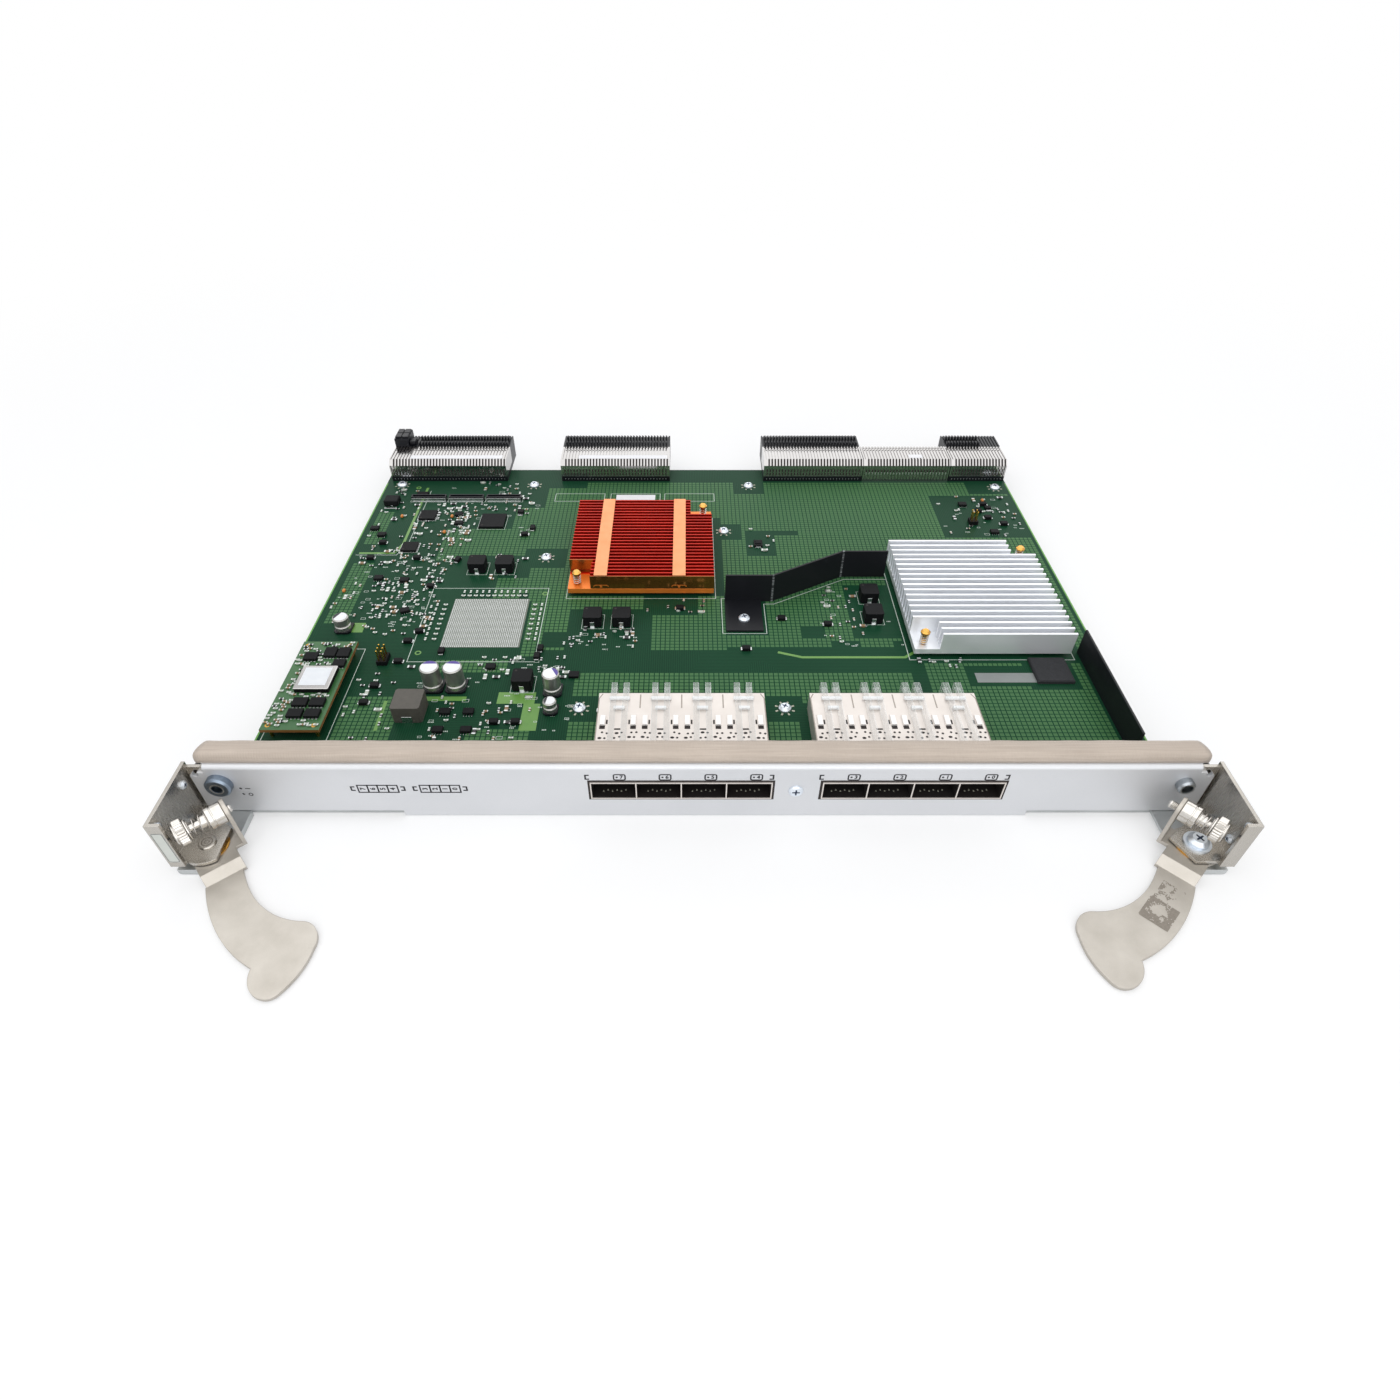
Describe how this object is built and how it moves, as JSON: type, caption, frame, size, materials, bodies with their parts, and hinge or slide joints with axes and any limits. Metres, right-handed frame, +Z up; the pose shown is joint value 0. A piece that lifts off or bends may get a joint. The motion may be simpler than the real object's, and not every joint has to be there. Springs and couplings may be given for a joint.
{
  "type": "network switch blade",
  "caption": "Flat chassis switch blade: circuit board on a steel tray behind a narrow front panel with port openings, heat sinks, rear connectors and a swinging ejector lever at each end.",
  "frame": {"origin": "middle of the carrier tray's underside", "axes": "+X along the front panel to the right seen from the front, +Y from the panel to the rear connectors, +Z up"},
  "size_m": [0.43, 0.3928, 0.0366],
  "materials": {
    "zinc_steel": "zinc-plated, satin",
    "board_green": "green solder mask, satin",
    "panel_paint": "fine silver-grey paint",
    "gasket_fabric": "metallised woven fabric over foam",
    "cage_steel": "nickel-plated stamped sheet",
    "black_plastic": "moulded, matt",
    "clear_plastic": "clear, polished",
    "copper": "bare copper, slightly oxidised",
    "aluminium": "extruded, clear anodised",
    "brass": "turned",
    "baffle_film": "black sheet, slightly glossy",
    "wafer_metal": "bright plated shields",
    "module_green": "green solder mask, satin",
    "stainless": "stainless, brushed",
    "dark_steel": "black oxide",
    "screw_zinc": "bright blue zinc",
    "spring_steel": "drawn wire",
    "can_aluminium": "drawn can"
  },
  "bodies": {
    "blade": {"air_baffle": "baffle_film", "aluminium_heatsink": "aluminium", "board_screws": "screw_zinc", "bush_screws": "screw_zinc", "cage_latches": "cage_steel", "can_capacitors": "can_aluminium", "capacitor_bases": "black_plastic", "carrier_tray": "zinc_steel", "chip_packages": "black_plastic", "copper_fin_stack": "copper", "copper_sink_base": "copper", "copper_strips": "copper", "emi_gasket": "gasket_fabric", "front_panel": "panel_paint", "header_pins": "brass", "large_inductor": "black_plastic", "left_bracket": "stainless", "left_lower_plate": "zinc_steel", "left_panel_insert": "dark_steel", "left_pivot_rivet": "stainless", "left_port_cage": "cage_steel", "light_pipes": "clear_plastic", "main_board": "board_green", "panel_block": "zinc_steel", "panel_screw": "screw_zinc", "pin_headers": "black_plastic", "port_connectors": "black_plastic", "power_inductors": "black_plastic", "power_module_board": "module_green", "power_module_parts": "black_plastic", "power_module_pins": "brass", "rear_housings": "black_plastic", "rear_key_block": "black_plastic", "rear_wafers": "wafer_metal", "right_bracket": "stainless", "right_lower_plate": "zinc_steel", "right_panel_insert": "dark_steel", "right_pivot_screw": "screw_zinc", "right_pivot_washer": "screw_zinc", "right_port_cage": "cage_steel", "side_baffle": "baffle_film", "sink_chips": "black_plastic", "sink_screws": "brass", "sink_springs": "spring_steel", "slim_connectors": "black_plastic", "spacer_bushes": "zinc_steel", "square_pad": "black_plastic", "thrust_washers": "brass", "tray_standoffs": "zinc_steel", "wall_screws": "screw_zinc"},
    "left_lever": {"left_lever": "stainless", "left_ferrule": "stainless", "left_spring": "spring_steel"},
    "left_screw_washer": {"left_screw_washer": "stainless"},
    "left_thumbscrew": {"left_thumbscrew": "stainless"},
    "right_lever": {"right_lever": "stainless", "right_ferrule": "stainless", "right_spring": "spring_steel"},
    "right_screw_washer": {"right_screw_washer": "stainless"},
    "right_thumbscrew": {"right_thumbscrew": "stainless"}
  },
  "joints": [
    {"name": "left_lever_swing", "type": "hinge", "parent": "blade", "child": "left_lever", "pos_m": [-0.204, -0.16225, 0.004], "axis": [0, 0, 1], "range_deg": [-12, 50]},
    {"name": "left_screw_press", "type": "slide", "parent": "left_lever", "child": "left_screw_washer", "axis": [0.766, 0.6428, 0], "range_m": [0, 0.0044], "stiffness_N_per_m": 200, "springref_m": -0.001, "deforming": ["left_spring"]},
    {"name": "left_screw_turn", "type": "hinge", "parent": "left_screw_washer", "child": "left_thumbscrew", "pos_m": [-0.20239, -0.16417, 0.021], "axis": [0.766, 0.6428, 0], "continuous": true},
    {"name": "right_lever_swing", "type": "hinge", "parent": "blade", "child": "right_lever", "pos_m": [0.204, -0.16225, 0.004], "axis": [0, 0, 1], "range_deg": [-45, 17]},
    {"name": "right_screw_press", "type": "slide", "parent": "right_lever", "child": "right_screw_washer", "axis": [-0.7071, 0.7071, 0], "range_m": [-0.002, 0.0024], "deforming": ["right_spring"]},
    {"name": "right_screw_turn", "type": "hinge", "parent": "right_screw_washer", "child": "right_thumbscrew", "pos_m": [0.20223, -0.16402, 0.021], "axis": [-0.7071, 0.7071, 0], "continuous": true}
  ]
}
